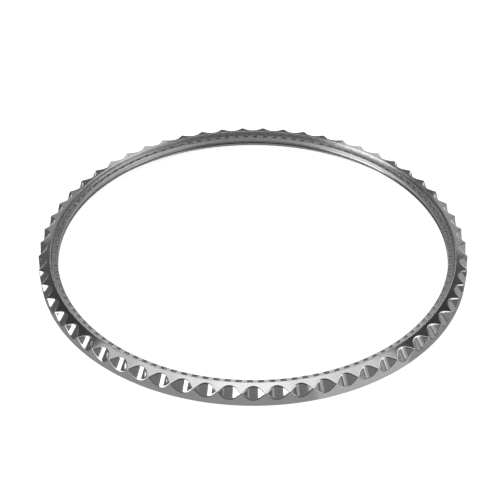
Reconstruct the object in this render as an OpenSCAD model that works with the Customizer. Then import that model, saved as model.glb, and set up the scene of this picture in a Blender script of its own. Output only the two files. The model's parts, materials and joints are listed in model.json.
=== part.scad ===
// Rotating bezel of a diver's watch, seen from its case side: a fluted ring, a click ring
// pressed into it and the split wire that holds it on the neck of the watch case.
// Millimetres. +Z is the bezel's axis and points to the case side. The origin is on the
// axis, in the plane of the dial-side edge on which the bezel rests.

/* [Case neck bore] */
// Diameter of the bore that turns on the case neck
bore_d = 36.36; // [34:0.02:40]
// Thickness of the flange between the insert and the click ring
flange_t = 0.4; // [0.38:0.01:0.6]
// Chamfer on the edges of the bore
bore_edge = 0.05; // [0.02:0.01:0.06]

/* [Bezel ring] */
// Radial width of the grip slope, from the rim's inner wall to the grip ridge
grip_w = 1.14; // [0.9:0.02:1.6]
// Height of the grip ridge above the dial-side edge
ridge_h = 1.52; // [1.4:0.02:1.8]
// Height of the flat band left on the grip ridge
ridge_band = 0.06; // [0.02:0.01:0.2]
// How far the dial-side edge stands in from the ridge
base_inset = 0.1; // [0:0.02:0.4]
// Height of the rim above the click ring
rim_h = 0.32; // [0.24:0.02:0.5]
// How far the rim's inner wall leans outwards
rim_flare = 0.06; // [0:0.02:0.3]
// Chamfer on the rim's inner edge
rim_edge = 0.06; // [0.02:0.01:0.1]
// Chamfer on the dial-side edge
base_edge = 0.1; // [0.02:0.01:0.2]

/* [Grip flutes] */
// Number of flutes
flutes = 60; // [48:1:64]
// Depth of a flute at the ridge, square to its length
flute_depth = 0.45; // [0.36:0.01:0.5]
// Radius of a flute's bottom
flute_root_r = 1.1; // [0.8:0.01:1.25]
// Radius of the crest between two flutes
crest_r = 0.16; // [0.05:0.01:0.2]
// Width of the land left on the crest
crest_land = 0.04; // [0.02:0.01:0.2]
// Lean of a flute towards the axis at its case-side end, in degrees
flute_lean = 34.5; // [30:0.5:40]

/* [Insert seat] */
// Radial width of the shelf on which the dial insert sits
insert_w = 0.9; // [0.8:0.02:1]
// Depth of the recess for the dial insert
insert_depth = 0.84; // [0.7:0.02:1]
// Lead-in chamfer at the mouth of the recess
insert_lead = 0.08; // [0.02:0.01:0.15]

/* [Click ring] */
// Radial width of the click ring
click_w = 0.62; // [0.54:0.02:0.8]
// Thickness of the click ring
click_t = 0.34; // [0.24:0.01:0.4]
// Number of click notches
clicks = 120; // [60:60:120]
// Angle from a flute to the next click notch, in degrees
click_phase = 2.1; // [0:0.1:3]
// Radius of the cutter that mills a notch
notch_r = 0.27; // [0.2:0.01:0.3]
// Depth of a notch
notch_depth = 0.16; // [0.1:0.01:0.2]
// Width of the rim left between the bore and the notches
notch_rim = 0.1; // [0.08:0.01:0.2]
// Radial length of a notch
notch_len = 0.26; // [0.2:0.01:0.3]

/* [Retaining wire] */
// Diameter of the wire
wire_d = 0.24; // [0.18:0.01:0.27]
// Clearance between the wire and its groove
wire_play = 0.03; // [0.02:0.01:0.04]
// How far the wire stands back from the bore
wire_setback = 0.03; // [0.02:0.01:0.1]
// Gap between the ends of the wire, in degrees
wire_gap = 8; // [4:1:20]

/* [Hidden] */

// Segments of a full turn, of a flute and of a notch or wire section
turn_fn = 360;
flute_fn = 64;
small_fn = 32;
// Overshoot of a cut past the face that it opens
cut_over = 0.5;
// Direction of the wire's gap, in degrees: the side nearest the viewer
gap_at = 270;

// Radii, from the bore outwards
bore_r = bore_d / 2;
click_r = bore_r + click_w;
insert_r = bore_r + insert_w;
rim_r = click_r + rim_flare;
ridge_r = rim_r + grip_w;
base_r = ridge_r - base_inset;

// Heights of the faces, from the dial side up
flange_z = insert_depth;
click_z = flange_z + flange_t;
shelf_z = click_z + click_t;
rim_z = shelf_z + rim_h;

// The groove is a rebate in the flange, closed by the click ring
groove_h = wire_d + 2 * wire_play;
groove_z = click_z - groove_h;
wire_mid_r = bore_r + wire_setback + wire_d / 2;
wire_mid_z = click_z - groove_h / 2;
groove_r = wire_mid_r + wire_d / 2 + wire_play;

// Section of a flute, square to its length: x runs round the ridge, y outwards from it.
// Its bottom is a round root, and its flanks run straight from there to the round crests.
crest_at = 180 / flutes - crest_land / ridge_r * 90 / PI;
crest_out = [sin(crest_at), cos(crest_at)];
crest_top = [ridge_r * sin(crest_at), -ridge_r * (1 - cos(crest_at)) * cos(flute_lean)];
crest_mid = crest_top - crest_r * crest_out;
root_mid = [0, flute_root_r - flute_depth];
span = crest_mid - root_mid;
flank = atan2(span.y, span.x) + asin((flute_root_r + crest_r) / norm(span));
flank_out = [-sin(flank), cos(flank)];
flank_low = root_mid - flute_root_r * flank_out;
flank_high = crest_mid + crest_r * flank_out;
flute_mouth = [crest_top.x, cut_over];
flute_len = 2 * (rim_z + cut_over);

// A notch's cutter lies along the radius, above the click ring's face
notch_axis_z = shelf_z - notch_depth + notch_r;
notch_start_r = bore_r + notch_rim;

// Section of the bezel ring, from the mouth of the insert recess round to the dial-side edge
ring_section = [
    [insert_r + insert_lead, 0],
    [insert_r, insert_lead],
    [insert_r, flange_z],
    [bore_r + bore_edge, flange_z],
    [bore_r, flange_z + bore_edge],
    [bore_r, groove_z],
    [groove_r, groove_z],
    [groove_r, click_z],
    [click_r, click_z],
    [click_r, shelf_z],
    [rim_r, rim_z - rim_edge],
    [rim_r + rim_edge, rim_z],
    [ridge_r, ridge_h + ridge_band / 2],
    [ridge_r, ridge_h - ridge_band / 2],
    [base_r, base_edge],
    [base_r - base_edge, 0],
];

// Section of the click ring
click_section = [
    [bore_r, click_z],
    [click_r, click_z],
    [click_r, shelf_z],
    [bore_r + bore_edge, shelf_z],
    [bore_r, shelf_z - bore_edge],
];

module around(count) {
    for (i = [0 : count - 1])
        rotate([0, 0, i * 360 / count])
            children();
}

function mirrored(p) = [-p.x, p.y];

// What a flute takes away, square to its length
module flute_section() {
    difference() {
        union() {
            translate(root_mid)
                circle(r = flute_root_r, $fn = flute_fn);
            polygon([
                flank_low, flank_high, crest_top, flute_mouth,
                mirrored(flute_mouth), mirrored(crest_top), mirrored(flank_high), mirrored(flank_low),
            ]);
        }
        for (mid = [crest_mid, mirrored(crest_mid)])
            translate(mid)
                circle(r = crest_r, $fn = small_fn);
    }
}

// One grip flute: it leans towards the axis at the case side
module flute() {
    translate([ridge_r, 0, ridge_h])
        rotate([0, -flute_lean, 0])
            rotate([0, 0, -90])
                linear_extrude(height = flute_len, center = true)
                    flute_section();
}

// One click notch: a blind, round-bottomed cut in the click ring's face
module notch() {
    translate([notch_start_r, 0, notch_axis_z])
        rotate([0, 90, 0])
            cylinder(r = notch_r, h = notch_len, $fn = small_fn);
}

// Fluted ring that the hand turns, with the insert seat, the flange and the wire's rebate
module bezel_ring() {
    color("silver")
        difference() {
            rotate_extrude($fn = turn_fn)
                polygon(ring_section);
            around(flutes)
                flute();
        }
}

// Ring of click notches, pressed into the bezel ring down to the flange
module click_ring() {
    color("darkgray")
        difference() {
            rotate_extrude($fn = turn_fn)
                polygon(click_section);
            rotate([0, 0, click_phase])
                around(clicks)
                    notch();
        }
}

// Split spring wire that snaps into the neck of the case and traps the bezel on it
module retaining_wire() {
    color("lightsteelblue")
        rotate([0, 0, gap_at + wire_gap / 2])
            rotate_extrude(angle = 360 - wire_gap, $fn = turn_fn)
                translate([wire_mid_r, wire_mid_z])
                    circle(d = wire_d, $fn = small_fn);
}

bezel_ring();
click_ring();
retaining_wire();
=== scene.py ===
# Rotating bezel of a diver's watch, case side up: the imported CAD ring, dressed for its looks.
import json
import math

import bpy
from mathutils import Matrix, Vector


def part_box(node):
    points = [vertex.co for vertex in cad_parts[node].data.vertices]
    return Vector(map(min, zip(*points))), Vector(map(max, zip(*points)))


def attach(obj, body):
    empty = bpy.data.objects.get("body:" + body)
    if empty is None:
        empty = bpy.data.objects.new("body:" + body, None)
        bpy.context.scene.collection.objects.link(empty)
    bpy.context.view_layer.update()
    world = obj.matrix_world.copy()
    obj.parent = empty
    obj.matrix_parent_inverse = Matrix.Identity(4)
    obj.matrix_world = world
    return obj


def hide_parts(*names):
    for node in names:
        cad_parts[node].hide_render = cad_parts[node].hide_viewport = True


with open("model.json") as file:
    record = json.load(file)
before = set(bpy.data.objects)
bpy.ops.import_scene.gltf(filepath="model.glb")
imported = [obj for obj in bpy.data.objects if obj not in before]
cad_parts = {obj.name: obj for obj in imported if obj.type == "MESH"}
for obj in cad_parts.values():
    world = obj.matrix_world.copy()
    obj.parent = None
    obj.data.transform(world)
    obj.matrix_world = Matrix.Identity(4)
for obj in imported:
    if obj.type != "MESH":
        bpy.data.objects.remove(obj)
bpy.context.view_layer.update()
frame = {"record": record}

# One millimetre, in metres. Sizes are in millimetres, and the meshes are scaled when they are made.
MM = 0.001

# How many copies go round the ring, and where they start, as angles from +X
FLUTES = 60
CLICKS = 120
CLICK_PHASE = math.radians(2.1)
WIRE_GAP_AT = math.radians(270)
WIRE_GAP = math.radians(8)

# Sections of the CAD pieces, where the frame's boxes and mounts don't give them
GRIP_W = 1.14
RIDGE_H = 1.52
RIDGE_BAND = 0.06
BASE_INSET = 0.1
BASE_EDGE = 0.1
RIM_FLARE = 0.06
RIM_EDGE = 0.06
BORE_EDGE = 0.05
INSERT_LEAD = 0.08
CLICK_W = 0.62
FLUTE_DEPTH = 0.45
FLUTE_ROOT_R = 1.1
CREST_R = 0.16
CREST_LAND = 0.04
FLUTE_LEAN = math.radians(34.5)
NOTCH_R = 0.27
NOTCH_DEPTH = 0.16
NOTCH_RIM = 0.1
NOTCH_LEN = 0.26
WIRE_SETBACK = 0.03
WIRE_PLAY = 0.03

# How far the small roundings reach from their edges. A flute's round reaches further where the
# edge crosses its surface at a slant. The slant's sine counts as LEAST_SLANT or more, and the
# round takes ROUND_SHARE of the surface at most.
FLUTE_ROUND = 0.09
LEAST_SLANT = 0.45
ROUND_SHARE = 0.35
LATHE_ROUND = 0.02
CLICK_SEAM = 0.02
NOTCH_ROUND = 0.012
WIRE_END_ROUND = 0.06

# Steps of the meshes
ROOT_STEPS = 9
FLANK_STEPS = 2
CREST_STEPS = 4
ROUND_STEPS = 4
LATHE_STEPS = 2
NOTCH_STEPS = 14
FACE_STEPS = 4
BEVEL_STEPS = 2
WIRE_STEPS = 264
WIRE_SIDES = 24

# Halvings in the search for a flute's ends
HALVINGS = 40

# Edges sharper than the first angle stay sharp in the shading, and edges of the click ring that
# are sharper than the second get a round
SHARP_ANGLE = math.radians(38)
BEVEL_ANGLE = math.radians(30)

# Rows between the rounds, as shares of the way: close to the rounds, so that these stay crisp
SLOPE_ROWS = (0.06, 0.5, 0.94)

# Camera, on the side of -Y, looking down at the ridge
CAMERA_ELEVATION = math.radians(38.14)
CAMERA_DISTANCE = 177.0
CAMERA_LENS = 136.3
CAMERA_SENSOR = 36
CAMERA_ASIDE = -0.285
CAMERA_RAISE = -0.05

# The nearest and the furthest that the camera sees, in metres
CAMERA_CLIP = (0.01, 10)

# Where the notches' painted highlight and painted shade, and their gloss, come in: below the face,
# outwards from the inner wall (from painted highlight to painted shade) and outwards from the outer
# wall, each as where it starts and where it is whole
NOTCH_SHADE_DEPTH = (0.015, 0.05)
NOTCH_WALL_SHADE = (0.01, 0.03)
NOTCH_END_SHADE = (0.05, 0.02)

# The floor: rings of points out to its reach, as shares of it, and a curve up to the backdrop
FLOOR_REACH = 1200
FLOOR_RISE = 900
FLOOR_SIDES = 24
FLOOR_RINGS = (0.02, 0.1, 0.3, 0.6, 1.0)
FLOOR_CURVE_STEPS = 12
FLOOR_WHITE = (0.9, 0.9, 0.9, 1)
FLOOR_GLOW = 0.75

# The room's glow over the height of a direction, from -1 to 1: from the first height to the
# second it goes from the third number to the fourth. The two glows are added.
TABLE_GLOW = (-0.56, -0.72, 0, 0.21)
WALL_GLOW = (0.45, 0.65, 0.13, 0.05)

# The panel overhead, in metres: rectangles of these widths and radiances, one above the other,
# so that it is brightest over the ring. Lights in one plane wouldn't add up.
PANEL_Y = 0.08
PANEL_Z = 0.6
PANEL_GAP = 0.01
PANEL_DEPTH = 0.38
PANEL_TURN = math.radians(-3.5)
PANELS = ((1.1, 0.6), (0.48, 0.2), (0.3, 0.17), (0.14, 0.16))

# How far the soft boxes stand from the ring, in metres
SOFTBOX_DISTANCE = 0.6

# The soft boxes: name, then azimuth, elevation, width and height in degrees, and radiance
SOFTBOXES = (
    ("left box", 208, 20, 34, 46, 2.2),
    ("left box on the table", 203, -21, 34, 34, 1.4),
    ("right box", 340, 27, 16, 24, 0.8),
    ("right box's glow", 338, 26, 52, 26, 0.28),
    ("front wall", 275, 16, 84, 34, 0.08),
    ("right high card", 8, 44, 40, 22, 1.2),
    ("right box on the table", 328, -20, 36, 40, 0.45),
    ("right table glow", 338, -46, 40, 20, 0.2),
    ("right wall", 25, -8, 60, 36, 0.28),
    ("rear card", 90, 52.5, 30, 19, 1.7),
    ("rear right card", 57, 20, 22, 14, 0.24),
    ("rear left card", 121, 18, 22, 12, 0.18),
    ("low right card", 64, -8, 26, 20, 1.1),
    ("low left card", 116, -8, 26, 20, 1.1),
    ("rear left window", 101.5, 4, 7, 8, 0.5),
    ("rear right window", 79, 2, 5, 8, 0.55),
)


def box_mm(node):
    """Lowest and highest corner of a CAD node, in millimetres."""
    low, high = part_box(node)
    return low / MM, high / MM


def mount(name):
    """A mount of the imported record."""
    return next(m for m in frame["record"]["mounts"] if m["name"] == name)


# Radii, from the bore outwards
BORE_R = mount("case_neck_bore")["dims"]["r_mm"]
INSERT_R = mount("insert_seat")["dims"]["r_mm"]
CLICK_R = BORE_R + CLICK_W
RIM_R = CLICK_R + RIM_FLARE
RIDGE_R = RIM_R + GRIP_W
BASE_R = RIDGE_R - BASE_INSET
NOTCH_START_R = BORE_R + NOTCH_RIM
NOTCH_END_R = NOTCH_START_R + NOTCH_LEN

# Heights, from the dial-side edge up
SEAT_TOP = mount("insert_seat")["pos_m"][2] / MM + mount("insert_seat")["dims"]["length_mm"] / 2
RIM_Z = box_mm("bezel_ring")[1].z
CLICK_Z = box_mm("click_ring")[0].z
SHELF_Z = box_mm("click_ring")[1].z
RIDGE_TOP = RIDGE_H + RIDGE_BAND / 2
RIDGE_LOW = RIDGE_H - RIDGE_BAND / 2

# The wire, and the rebate that it lies in
WIRE_LOW_Z = box_mm("retaining_wire")[0].z
WIRE_R = (box_mm("retaining_wire")[1].z - WIRE_LOW_Z) / 2
WIRE_MID_R = BORE_R + WIRE_SETBACK + WIRE_R
GROOVE_Z = WIRE_LOW_Z - WIRE_PLAY
GROOVE_R = WIRE_MID_R + WIRE_R + WIRE_PLAY

# How the two slopes fall away from the ridge: the upper one per radius, the lower one per height
UPPER_FALL = (RIM_Z - RIDGE_TOP) / (RIDGE_R - RIM_R - RIM_EDGE)
LOWER_DRAFT = BASE_INSET / (RIDGE_LOW - BASE_EDGE)

# How much a step along a slope changes the radius on the upper one, and the height on the lower
UPPER_RUN = math.cos(math.atan(UPPER_FALL))
LOWER_RUN = math.cos(math.atan(LOWER_DRAFT))

# Material slots of the fluted ring
TURNED, SATIN, POLISHED = range(3)


def shares(steps, start=0.0, end=1.0):
    """Numbers from start to end in even steps, with both ends."""
    return [start + (end - start) * i / steps for i in range(steps + 1)]


def bezier(a, corner, b, steps=ROUND_STEPS):
    """The round that replaces a corner, from a to b."""
    return [a * (1 - t) ** 2 + corner * (2 * t * (1 - t)) + b * t ** 2 for t in shares(steps)]


def polar(r, angle, z):
    """A point from its radius, its angle from +X and its height."""
    return Vector((r * math.cos(angle), r * math.sin(angle), z))


def radius_of(p):
    """How far a point is from the axis."""
    return math.hypot(p.x, p.y)


def angle_of(p):
    """A point's angle from +X."""
    return math.atan2(p.y, p.x)


def turned(p, angle):
    """A point or a direction, turned round the axis."""
    return Matrix.Rotation(angle, 3, "Z") @ p


def mesh_object(name, points, faces, slots=None):
    """A smooth mesh from points in millimetres. slots gives each face's material slot."""
    mesh = bpy.data.meshes.new(name)
    mesh.from_pydata([p * MM for p in points], [], faces)
    if slots:
        mesh.polygons.foreach_set("material_index", slots)
    mesh.shade_smooth()
    mesh.set_sharp_from_angle(angle=SHARP_ANGLE)
    made = bpy.data.objects.new(name, mesh)
    bpy.context.scene.collection.objects.link(made)
    return made


def crisp_normals(piece):
    """Large faces keep their own shading, and only the rounds between them blend."""
    normals = piece.modifiers.new("crisp normals", "WEIGHTED_NORMAL")
    normals.keep_sharp = True


def flute_half_section():
    """Half a flute, square to its length, from its middle to a crest: x goes round the ridge,
    and y goes outwards from the ridge. Root arc, straight flank and crest arc are tangent."""
    crest_at = math.pi / FLUTES - CREST_LAND / RIDGE_R / 2
    crest_drop = RIDGE_R * (1 - math.cos(crest_at)) * math.cos(FLUTE_LEAN)
    crest_top = Vector((RIDGE_R * math.sin(crest_at), -crest_drop))
    crest_mid = crest_top - CREST_R * Vector((math.sin(crest_at), math.cos(crest_at)))
    root_mid = Vector((0, FLUTE_ROOT_R - FLUTE_DEPTH))
    span = crest_mid - root_mid
    flank = math.atan2(span.y, span.x) + math.asin((FLUTE_ROOT_R + CREST_R) / span.length)
    flank_out = Vector((-math.sin(flank), math.cos(flank)))
    flank_low = root_mid - FLUTE_ROOT_R * flank_out
    flank_high = crest_mid + CREST_R * flank_out
    section = [
        root_mid + FLUTE_ROOT_R * Vector((math.sin(a), -math.cos(a)))
        for a in shares(ROOT_STEPS, 0, flank)
    ]
    section += [flank_low.lerp(flank_high, t) for t in shares(FLANK_STEPS)[1:]]
    section += [
        crest_mid + CREST_R * Vector((-math.sin(a), math.cos(a)))
        for a in shares(CREST_STEPS, flank, -crest_at)[1:]
    ]
    return section


def on_flute(section_point, along):
    """A point of the flute at +X: a section point, moved along the flute from the ridge up."""
    out = Vector((math.cos(FLUTE_LEAN), 0, math.sin(FLUTE_LEAN)))
    up = Vector((-math.sin(FLUTE_LEAN), 0, math.cos(FLUTE_LEAN)))
    return Vector((RIDGE_R, section_point.x, RIDGE_H)) + out * section_point.y + up * along


def past_upper_slope(p):
    """How far a point is outside the upper slope."""
    return p.z - RIDGE_TOP - (RIDGE_R - radius_of(p)) * UPPER_FALL


def past_lower_slope(p):
    """How far a point is outside the lower slope and the ridge's band."""
    return radius_of(p) - RIDGE_R + max(0.0, RIDGE_LOW - p.z) * LOWER_DRAFT


def flute_end(section_point, reach, past):
    """Where the line along a flute, through a section point, leaves the ring's turned outline."""
    inside, outside = 0.0, reach
    for _ in range(HALVINGS):
        middle = (inside + outside) / 2
        if past(on_flute(section_point, middle)) > 0:
            outside = middle
        else:
            inside = middle
    return on_flute(section_point, inside)


def on_upper_slope(r, angle):
    """The point of the upper slope at a radius."""
    return polar(r, angle, RIDGE_TOP + (RIDGE_R - r) * UPPER_FALL)


def on_lower_slope(z, angle):
    """The point of the lower slope, or of the ridge's band, at a height."""
    return polar(RIDGE_R - max(0.0, RIDGE_LOW - z) * LOWER_DRAFT, angle, z)


def round_reach(along, edge, room):
    """How far an edge's round reaches along one of its two surfaces, so that it is as wide
    wherever the edge slants, and narrower where the surface has little room."""
    slant = along.normalized().cross(edge.normalized()).length
    return min(FLUTE_ROUND / max(slant, LEAST_SLANT), ROUND_SHARE * room)


def lathe_rows():
    """The turned outline inside the ring, as (radius, height) points: from the rim's top inwards,
    down past the rebate and the insert seat, and out to the foot of the lower slope."""
    corners = [
        (RIM_R + RIM_EDGE, RIM_Z, LATHE_ROUND),
        (RIM_R, RIM_Z - RIM_EDGE, LATHE_ROUND),
        (CLICK_R, SHELF_Z, 0),
        (CLICK_R, CLICK_Z, 0),
        (GROOVE_R, CLICK_Z, 0),
        (GROOVE_R, GROOVE_Z, 0),
        (BORE_R, GROOVE_Z, 0),
        (BORE_R, SEAT_TOP + BORE_EDGE, LATHE_ROUND),
        (BORE_R + BORE_EDGE, SEAT_TOP, LATHE_ROUND),
        (INSERT_R, SEAT_TOP, 0),
        (INSERT_R, INSERT_LEAD, LATHE_ROUND),
        (INSERT_R + INSERT_LEAD, 0, LATHE_ROUND),
        (BASE_R - BASE_EDGE, 0, LATHE_ROUND),
        (BASE_R, BASE_EDGE, LATHE_ROUND),
    ]
    outline = [Vector((RIDGE_R, RIDGE_TOP))]
    outline += [Vector(corner[:2]) for corner in corners]
    outline.append(Vector((RIDGE_R, RIDGE_LOW)))
    rows = []
    for i, (_, _, reach) in enumerate(corners):
        before, corner, after = outline[i:i + 3]
        if reach:
            a = corner + (before - corner).normalized() * reach
            b = corner + (after - corner).normalized() * reach
            rows += bezier(a, corner, b, LATHE_STEPS)
        else:
            rows.append(corner)
    return rows


def ring_column(lathe, high, high_edge, low, low_edge):
    """One column of the fluted ring, once round its section. high and low are where the flute
    meets the two slopes, and high_edge and low_edge are the directions of those edges."""
    top_angle, low_angle = angle_of(high), angle_of(low)
    last = len(lathe) - 1
    column = [
        polar(p.x, top_angle + (low_angle - top_angle) * i / last, p.y)
        for i, p in enumerate(lathe)
    ]
    along = high - low
    foot, brow = column[-1], column[0]
    # Each round starts on a slope and ends on the flute
    low_reach = round_reach(foot - low, low_edge, (foot - low).length)
    high_reach = round_reach(brow - high, high_edge, (brow - high).length)
    low_step = min(low_reach, along.length) * LOWER_RUN
    high_step = min(high_reach, along.length) * UPPER_RUN
    low_start = on_lower_slope(low.z - low_step, low_angle)
    high_start = on_upper_slope(radius_of(high) - high_step, top_angle)
    low_end = low + along.normalized() * round_reach(along, low_edge, along.length)
    high_end = high - along.normalized() * round_reach(along, high_edge, along.length)
    column += [foot.lerp(low_start, t) for t in SLOPE_ROWS]
    column += bezier(low_start, low, low_end)
    column += [low_end.lerp(high_end, t) for t in SLOPE_ROWS]
    column += bezier(high_end, high, high_start)
    column += [high_start.lerp(brow, t) for t in SLOPE_ROWS]
    return column


def ring_row_slots(lathe):
    """The material slot of each row of faces, in the order of a column's points."""
    rounds = ROUND_STEPS + 1
    slots = [TURNED] * (len(lathe) - 1)
    slots += [SATIN] * (len(SLOPE_ROWS) + 1)
    slots += [POLISHED] * (rounds + len(SLOPE_ROWS) + rounds - 1)
    slots += [SATIN] * (len(SLOPE_ROWS) + 1)
    return slots


def one_flute(lathe):
    """The columns of the flute at +X, from the middle of the crest before it to its other crest."""
    section = flute_half_section()
    mirrored = [Vector((-p.x, p.y)) for p in reversed(section[1:])]
    whole = mirrored + section
    highs = [flute_end(p, RIM_Z, past_upper_slope) for p in whole]
    lows = [flute_end(p, -RIM_Z, past_lower_slope) for p in whole]
    # The middle of the land, on the crests before and after, closes the row of edges
    half_pitch = math.pi / FLUTES
    highs = [polar(RIDGE_R, -half_pitch, RIDGE_TOP)] + highs + [polar(RIDGE_R, half_pitch, RIDGE_TOP)]
    lows = [polar(RIDGE_R, -half_pitch, RIDGE_LOW)] + lows + [polar(RIDGE_R, half_pitch, RIDGE_LOW)]
    land_edge = turned(Vector((0, 1, 0)), -half_pitch)
    columns = [ring_column(lathe, highs[0], land_edge, lows[0], land_edge)]
    for i in range(1, len(highs) - 1):
        high_edge = highs[i + 1] - highs[i - 1]
        low_edge = lows[i + 1] - lows[i - 1]
        columns.append(ring_column(lathe, highs[i], high_edge, lows[i], low_edge))
    return columns


def fluted_ring():
    """The ring that the hand turns, as one closed mesh whose columns follow the flutes."""
    lathe = lathe_rows()
    pattern = one_flute(lathe)
    rows = len(pattern[0])
    row_slots = ring_row_slots(lathe)
    points = []
    for k in range(FLUTES):
        for column in pattern:
            points += [turned(p, k * 2 * math.pi / FLUTES) for p in column]
    columns = FLUTES * len(pattern)
    faces, slots = [], []
    for j in range(columns):
        here, there = j * rows, (j + 1) % columns * rows
        for i in range(rows):
            under = (i + 1) % rows
            faces.append((here + i, there + i, there + under, here + under))
            slots.append(row_slots[i])
    piece = mesh_object("fluted_ring", points, faces, slots)
    crisp_normals(piece)
    return piece


def click_columns():
    """The columns of one click notch at +X and of the face after it. Each is a section of the
    ring as (radius, height) rows with its angle, and its notch floor or None."""
    axis_z = SHELF_Z - NOTCH_DEPTH + NOTCH_R
    mouth = math.acos((axis_z - SHELF_Z) / NOTCH_R)
    mid_r = (NOTCH_START_R + NOTCH_END_R) / 2
    columns = []
    for a in shares(NOTCH_STEPS, -mouth, mouth):
        across = NOTCH_R * math.sin(a)
        columns.append((math.asin(across / mid_r), across, axis_z - NOTCH_R * math.cos(a)))
    last = columns[-1][0]
    following = 2 * math.pi / CLICKS + columns[0][0]
    columns += [(a, None, SHELF_Z) for a in shares(FACE_STEPS, last, following)[1:-1]]
    return columns


def notched_ring():
    """The click ring, as one closed mesh with blind, round-bottomed notches in its face."""
    rows = [
        (BORE_R, CLICK_Z),
        (CLICK_R, CLICK_Z),
        (CLICK_R, SHELF_Z - CLICK_SEAM),
        (CLICK_R - CLICK_SEAM, SHELF_Z),
        (NOTCH_END_R, SHELF_Z),
        (NOTCH_START_R, SHELF_Z),
        (BORE_R + BORE_EDGE, SHELF_Z),
        (BORE_R, SHELF_Z - BORE_EDGE),
    ]
    # The rows at the notches' outer and inner walls
    outer_row, inner_row = 4, 5
    pattern = click_columns()
    points, tops, floors = [], [], []
    for k in range(CLICKS):
        turn = CLICK_PHASE + k * 2 * math.pi / CLICKS
        for j, (angle, across, floor_z) in enumerate(pattern):
            column = [polar(r, angle, z) for r, z in rows]
            if across is not None:
                column[outer_row] = Vector((NOTCH_END_R, across, SHELF_Z))
                column[inner_row] = Vector((NOTCH_START_R, across, SHELF_Z))
            tops.append([len(points) + i for i in range(len(rows))])
            points += [turned(p, turn) for p in column]
            # A notch's first and last columns lie in the face, so their floor is the face
            floors.append((tops[-1][outer_row], tops[-1][inner_row]))
            if across is not None and 0 < j < NOTCH_STEPS:
                floors[-1] = (len(points), len(points) + 1)
                points += [
                    turned(Vector((r, across, floor_z)), turn) for r in (NOTCH_END_R, NOTCH_START_R)
                ]
    faces = []
    for j in range(len(tops)):
        after = (j + 1) % len(tops)
        here, there = tops[j], tops[after]
        in_notch = j % len(pattern) < NOTCH_STEPS
        for i in range(len(rows)):
            under = (i + 1) % len(rows)
            if i == outer_row and in_notch:
                faces.append((floors[after][0], floors[after][1], floors[j][1], floors[j][0]))
            else:
                faces.append((there[i], there[under], here[under], here[i]))
        if in_notch:
            outer_wall = (there[outer_row], floors[after][0], floors[j][0], here[outer_row])
            inner_wall = (here[inner_row], floors[j][1], floors[after][1], there[inner_row])
            # At a notch's ends two corners are one, and the wall is a triangle
            faces += [tuple(dict.fromkeys(wall)) for wall in (outer_wall, inner_wall)]
    piece = mesh_object("notched_ring", points, faces)
    bevel = piece.modifiers.new("edge rounds", "BEVEL")
    bevel.width = NOTCH_ROUND * MM
    bevel.segments = BEVEL_STEPS
    bevel.angle_limit = BEVEL_ANGLE
    crisp_normals(piece)
    return piece


def split_wire():
    """The retaining wire: round wire bent to an open circle, its cut ends rounded off."""
    start = WIRE_GAP_AT + WIRE_GAP / 2
    length = 2 * math.pi - WIRE_GAP
    end_round = WIRE_END_ROUND / WIRE_MID_R
    # Stations along the wire, as (angle, radius of its section)
    ends = bezier(
        Vector((0, WIRE_R - WIRE_END_ROUND)), Vector((0, WIRE_R)), Vector((end_round, WIRE_R))
    )
    stations = [(start + p.x, p.y) for p in ends]
    stations += [(a, WIRE_R) for a in shares(WIRE_STEPS, start, start + length)[1:-1]]
    stations += [(start + length - p.x, p.y) for p in reversed(ends)]
    points = []
    for angle, r in stations:
        for k in range(WIRE_SIDES):
            side = 2 * math.pi * k / WIRE_SIDES
            height = WIRE_LOW_Z + WIRE_R + r * math.sin(side)
            points.append(polar(WIRE_MID_R + r * math.cos(side), angle, height))
    faces = [tuple(range(WIRE_SIDES))]
    for j in range(len(stations) - 1):
        for k in range(WIRE_SIDES):
            here, there = j * WIRE_SIDES, (j + 1) * WIRE_SIDES
            after = (k + 1) % WIRE_SIDES
            faces.append((here + k, there + k, there + after, here + after))
    last = (len(stations) - 1) * WIRE_SIDES
    faces.append(tuple(last + k for k in reversed(range(WIRE_SIDES))))
    piece = mesh_object("split_wire", points, faces)
    crisp_normals(piece)
    return piece


def new_material(name):
    """A material with its node tree and its shader."""
    material = bpy.data.materials.new(name)
    material.use_nodes = True
    return material, material.node_tree, material.node_tree.nodes["Principled BSDF"]


def add(tree, kind, inputs=None, **settings):
    """Adds a node with its settings. Its inputs are plain values or other nodes' outputs."""
    made = tree.nodes.new(kind)
    for name, value in settings.items():
        setattr(made, name, value)
    for key, value in (inputs or {}).items():
        if isinstance(value, bpy.types.NodeSocket):
            tree.links.new(value, made.inputs[key])
        else:
            made.inputs[key].default_value = value
    return made


def math_node(tree, operation, a, b):
    """An operation on two numbers or outputs, such as ADD."""
    return add(tree, "ShaderNodeMath", {0: a, 1: b}, operation=operation).outputs[0]


def weighted(tree, a, b, share):
    """The mean of two values, with a share for the first."""
    return math_node(
        tree, "ADD", math_node(tree, "MULTIPLY", a, share), math_node(tree, "MULTIPLY", b, 1 - share)
    )


def mapped(tree, value, low, high, to_low, to_high):
    """A value from the range low to high, moved to the range to_low to to_high."""
    inputs = {"Value": value, "From Min": low, "From Max": high, "To Min": to_low, "To Max": to_high}
    return add(tree, "ShaderNodeMapRange", inputs).outputs["Result"]


def blended(tree, factor, a, b, kind):
    """A colour (kind RGBA) or a number (kind FLOAT) between two others."""
    mix = add(tree, "ShaderNodeMix", {"Factor": factor, "A": a, "B": b}, data_type=kind)
    return mix.outputs["Result"]


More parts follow.
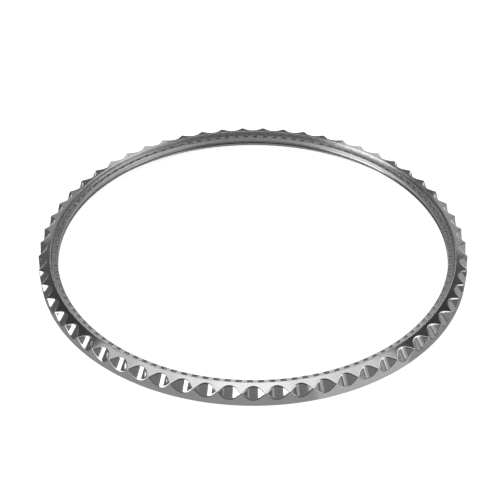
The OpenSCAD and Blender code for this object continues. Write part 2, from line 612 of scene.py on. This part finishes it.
def ring_places(tree):
    """Where a surface point is on the ring, in metres: its place, its direction from the axis,
    its radius and its height. rise is their sum and fall their difference, so rise changes along
    surfaces that rise outwards, and fall along surfaces that fall outwards."""
    place = add(tree, "ShaderNodeTexCoord").outputs["Object"]
    flatten = add(tree, "ShaderNodeVectorMath", {0: place, 1: (1, 1, 0)}, operation="MULTIPLY")
    flat = flatten.outputs[0]
    radius = add(tree, "ShaderNodeVectorMath", {0: flat}, operation="LENGTH").outputs["Value"]
    out = add(tree, "ShaderNodeVectorMath", {0: flat}, operation="NORMALIZE").outputs[0]
    height = add(tree, "ShaderNodeSeparateXYZ", {0: place}).outputs["Z"]
    return {
        "place": place,
        "out": out,
        "radius": radius,
        "height": height,
        "rise": math_node(tree, "ADD", radius, height),
        "fall": math_node(tree, "SUBTRACT", radius, height),
    }


def streaks(tree, out, across, round_mm, across_mm, detail=2.0):
    """Noise in streaks round the ring: round_mm long, and across_mm wide along the section."""
    scale = {0: out, "Scale": RIDGE_R / round_mm}
    around = add(tree, "ShaderNodeVectorMath", scale, operation="SCALE").outputs[0]
    step = math_node(tree, "MULTIPLY", across, 1 / (across_mm * MM))
    along = add(tree, "ShaderNodeCombineXYZ", {"Z": step}).outputs[0]
    place = add(tree, "ShaderNodeVectorMath", {0: around, 1: along}, operation="ADD").outputs[0]
    inputs = {"Vector": place, "Scale": 1.0, "Detail": detail, "Roughness": 0.6}
    return add(tree, "ShaderNodeTexNoise", inputs).outputs["Fac"]


def speckle(tree, place, size_mm, detail=2.0):
    """Noise without a direction, such as a fine blasted or mottled surface."""
    inputs = {"Vector": place, "Scale": 1 / (size_mm * MM), "Detail": detail, "Roughness": 0.55}
    return add(tree, "ShaderNodeTexNoise", inputs).outputs["Fac"]


def bare_metal(tree, shader, tone, greys, gloss, roughness, middle=(0.3, 0.7)):
    """Metal with its greys set by tone and its roughness by gloss, both from noise. Noise gathers
    round a half, so its middle is spread over the whole range."""
    dark, light = greys
    grey = blended(tree, mapped(tree, tone, *middle, 0, 1), (*dark, 1), (*light, 1), "RGBA")
    tree.links.new(grey, shader.inputs["Base Color"])
    tree.links.new(mapped(tree, gloss, *middle, *roughness), shader.inputs["Roughness"])
    shader.inputs["Metallic"].default_value = 1


def bumped(tree, shader, height, strength, depth_mm):
    """Fine relief on the surface, from a height between 0 and 1."""
    inputs = {"Strength": strength, "Distance": depth_mm * MM, "Height": height}
    tree.links.new(add(tree, "ShaderNodeBump", inputs).outputs["Normal"], shader.inputs["Normal"])


def brushed_round(tree, shader, amount):
    """Stretches reflections across marks that run round the axis."""
    shader.inputs["Anisotropic"].default_value = amount
    # A quarter turn
    shader.inputs["Anisotropic Rotation"].default_value = 0.25
    tangent = add(tree, "ShaderNodeTangent", direction_type="RADIAL", axis="Z")
    tree.links.new(tangent.outputs["Tangent"], shader.inputs["Tangent"])


def turned_steel(name, greys, roughness, groove_mm, relief):
    """Steel as the lathe leaves it: fine rings of tool marks, uneven in depth and in gloss."""
    material, tree, shader = new_material(name)
    at = ring_places(tree)
    fine = streaks(tree, at["out"], at["rise"], round_mm=6, across_mm=groove_mm)
    broad = streaks(tree, at["out"], at["fall"], round_mm=14, across_mm=0.28, detail=3)
    stains = speckle(tree, at["place"], size_mm=2.4)
    tone = weighted(tree, fine, broad, share=0.4)
    gloss = weighted(tree, broad, stains, share=0.5)
    bare_metal(tree, shader, tone, greys, gloss, roughness)
    brushed_round(tree, shader, amount=0.45)
    bumped(tree, shader, fine, relief, depth_mm=0.01)
    return material


def paint_notch_light_and_shade(material, wall, painted_shade, roughness):
    """The click notches: dull, with a painted highlight on the inner wall and painted shade in the
    rest.
    """
    tree = material.node_tree
    shader = tree.nodes["Principled BSDF"]
    at = ring_places(tree)
    depths = [(SHELF_Z - depth) * MM for depth in NOTCH_SHADE_DEPTH]
    past_wall = [(NOTCH_START_R + step) * MM for step in NOTCH_WALL_SHADE]
    past_end = [(NOTCH_END_R + step) * MM for step in NOTCH_END_SHADE]
    below = mapped(tree, at["height"], *depths, 0, 1)
    inside = mapped(tree, at["radius"], *past_end, 0, 1)
    in_notch = math_node(tree, "MULTIPLY", below, inside)
    off_wall = mapped(tree, at["radius"], *past_wall, 0, 1)
    # The wall colour is a painted highlight on the notch's inner wall, and the other colour is painted
    # shade in the recess
    painted_notch_light = blended(tree, off_wall, (*wall, 1), (*painted_shade, 1), "RGBA")
    for socket, kind, notch in (("Base Color", "RGBA", painted_notch_light), ("Roughness", "FLOAT", roughness)):
        steel = shader.inputs[socket].links[0].from_socket
        tree.links.new(blended(tree, in_notch, steel, notch, kind), shader.inputs[socket])


def satin_steel(name, greys, roughness):
    """The turned slopes: a fine, even satin over faint turning marks, with a soft mottle."""
    material, tree, shader = new_material(name)
    at = ring_places(tree)
    grain = speckle(tree, at["place"], size_mm=0.12, detail=3)
    marks = streaks(tree, at["out"], at["fall"], round_mm=10, across_mm=0.07)
    patches = speckle(tree, at["place"], size_mm=1.5)
    tone = weighted(tree, grain, patches, share=0.5)
    relief = weighted(tree, grain, marks, share=0.6)
    bare_metal(tree, shader, tone, greys, patches, roughness, middle=(0.35, 0.65))
    brushed_round(tree, shader, amount=0.3)
    bumped(tree, shader, relief, strength=0.18, depth_mm=0.008)
    return material


def cut_steel(name, greys, roughness):
    """The flutes: bright milled steel with faint lines along each flute."""
    material, tree, shader = new_material(name)
    at = ring_places(tree)
    lines = streaks(tree, at["out"], at["rise"], round_mm=0.1, across_mm=6, detail=3)
    patches = speckle(tree, at["place"], size_mm=0.5)
    tone = weighted(tree, lines, patches, share=0.5)
    bare_metal(tree, shader, tone, greys, lines, roughness)
    bumped(tree, shader, lines, strength=0.2, depth_mm=0.01)
    return material


def drawn_steel(name, greys, roughness):
    """The wire: drawn steel, with long die marks round the ring."""
    material, tree, shader = new_material(name)
    at = ring_places(tree)
    marks = streaks(tree, at["out"], at["fall"], round_mm=8, across_mm=0.05)
    patches = speckle(tree, at["place"], size_mm=0.8)
    bare_metal(tree, shader, marks, greys, patches, roughness)
    bumped(tree, shader, marks, strength=0.3, depth_mm=0.01)
    return material


def floor():
    """A plain pale floor that curves up into a backdrop, far from the ring."""
    profile = [(FLOOR_REACH * t, 0.0) for t in FLOOR_RINGS]
    profile += [
        (FLOOR_REACH + FLOOR_RISE * math.sin(a), FLOOR_RISE * (1 - math.cos(a)))
        for a in shares(FLOOR_CURVE_STEPS, 0, math.pi / 2)[1:]
    ]
    points = [Vector((0, 0, 0))]
    for r, z in profile:
        points += [polar(r, 2 * math.pi * k / FLOOR_SIDES, z) for k in range(FLOOR_SIDES)]
    faces = [(0, 1 + k, 1 + (k + 1) % FLOOR_SIDES) for k in range(FLOOR_SIDES)]
    for j in range(len(profile) - 1):
        for k in range(FLOOR_SIDES):
            here, there = 1 + j * FLOOR_SIDES, 1 + (j + 1) * FLOOR_SIDES
            after = (k + 1) % FLOOR_SIDES
            faces.append((here + k, there + k, there + after, here + after))
    piece = mesh_object("floor", points, faces)
    material, _, shader = new_material("pale floor")
    shader.inputs["Base Color"].default_value = FLOOR_WHITE
    shader.inputs["Roughness"].default_value = 1
    shader.inputs["Specular IOR Level"].default_value = 0
    shader.inputs["Emission Color"].default_value = (1, 1, 1, 1)
    shader.inputs["Emission Strength"].default_value = FLOOR_GLOW
    piece.data.materials.append(material)
    piece.visible_glossy = False
    piece.visible_shadow = False


def area_light(name, place, turn, width, height, radiance):
    """A soft rectangular light, its sizes in metres and its brightness as seen in a mirror."""
    data = bpy.data.lights.new(name, "AREA")
    data.shape = "RECTANGLE"
    data.size = width
    data.size_y = height
    data.energy = radiance * math.pi * width * height
    light = bpy.data.objects.new(name, data)
    light.location = place
    light.rotation_euler = turn
    light.visible_camera = False
    bpy.context.scene.collection.objects.link(light)


def softbox(name, azimuth, elevation, across, high, radiance):
    """A soft light that faces the ring. Its place and its size are angles, in degrees."""
    around, up = math.radians(azimuth), math.radians(elevation)
    away = Vector((math.cos(around) * math.cos(up), math.sin(around) * math.cos(up), math.sin(up)))
    place = away * SOFTBOX_DISTANCE
    width = 2 * SOFTBOX_DISTANCE * math.tan(math.radians(across) / 2)
    height = 2 * SOFTBOX_DISTANCE * math.tan(math.radians(high) / 2)
    area_light(name, place, place.to_track_quat("Z", "Y").to_euler(), width, height, radiance)


def studio():
    """A dim room with a panel overhead, a strong box at the left, a weak one at the right, and
    cards and windows behind. Lights below the horizon stand for what the table mirrors."""
    world = bpy.data.worlds.new("studio")
    bpy.context.scene.world = world
    world.use_nodes = True
    tree = world.node_tree
    direction = add(tree, "ShaderNodeTexCoord").outputs["Generated"]
    height = add(tree, "ShaderNodeSeparateXYZ", {0: direction}).outputs["Z"]
    table = mapped(tree, height, *TABLE_GLOW)
    wall = mapped(tree, height, *WALL_GLOW)
    tree.links.new(math_node(tree, "ADD", table, wall), tree.nodes["Background"].inputs["Color"])
    for i, (width, radiance) in enumerate(PANELS):
        place = (0, PANEL_Y, PANEL_Z + PANEL_GAP * i)
        area_light("overhead panel", place, (0, 0, PANEL_TURN), width, PANEL_DEPTH, radiance)
    for box in SOFTBOXES:
        softbox(*box)
    bpy.context.scene.view_settings.view_transform = "Standard"


def camera():
    """The photograph's point of view: a long lens, level from side to side."""
    data = bpy.data.cameras.new("camera")
    data.lens = CAMERA_LENS
    data.sensor_width = CAMERA_SENSOR
    data.clip_start, data.clip_end = CAMERA_CLIP
    made = bpy.data.objects.new("camera", data)
    back = Vector((0, -math.cos(CAMERA_ELEVATION), math.sin(CAMERA_ELEVATION)))
    up = Vector((0, math.sin(CAMERA_ELEVATION), math.cos(CAMERA_ELEVATION)))
    aim = Vector((CAMERA_ASIDE, 0, RIDGE_H)) + up * CAMERA_RAISE
    made.location = (aim + back * CAMERA_DISTANCE) * MM
    made.rotation_euler = (math.pi / 2 - CAMERA_ELEVATION, 0, 0)
    bpy.context.scene.collection.objects.link(made)
    bpy.context.scene.camera = made


def dress(piece, body, node, materials):
    """Puts a piece in place of its CAD node, on the same body and with the given materials."""
    for material in materials:
        piece.data.materials.append(material)
    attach(piece, body)
    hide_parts(node)


camera()
studio()
floor()
seat_steel = turned_steel(
    "turned steel",
    greys=((0.62, 0.62, 0.61), (0.72, 0.72, 0.71)),
    roughness=(0.2, 0.32),
    groove_mm=0.06,
    relief=0.3,
)
click_steel = turned_steel(
    "click ring steel",
    greys=((0.5, 0.5, 0.49), (0.58, 0.58, 0.57)),
    roughness=(0.2, 0.26),
    groove_mm=0.05,
    relief=0.08,
)
# The notches get a painted highlight on their inner wall and painted shade in the rest
paint_notch_light_and_shade(click_steel, wall=(0.85, 0.85, 0.84), painted_shade=(0.38, 0.37, 0.36), roughness=0.5)
slope_steel = satin_steel(
    "satin steel", greys=((0.7, 0.7, 0.68), (0.76, 0.76, 0.74)), roughness=(0.07, 0.11)
)
flute_steel = cut_steel(
    "milled steel", greys=((0.66, 0.66, 0.66), (0.76, 0.76, 0.76)), roughness=(0.1, 0.18)
)
wire_steel = drawn_steel(
    "drawn steel", greys=((0.55, 0.55, 0.56), (0.68, 0.68, 0.69)), roughness=(0.12, 0.25)
)
dress(fluted_ring(), "bezel", "bezel_ring", [seat_steel, slope_steel, flute_steel])
dress(notched_ring(), "bezel", "click_ring", [click_steel])
dress(split_wire(), "wire", "retaining_wire", [wire_steel])
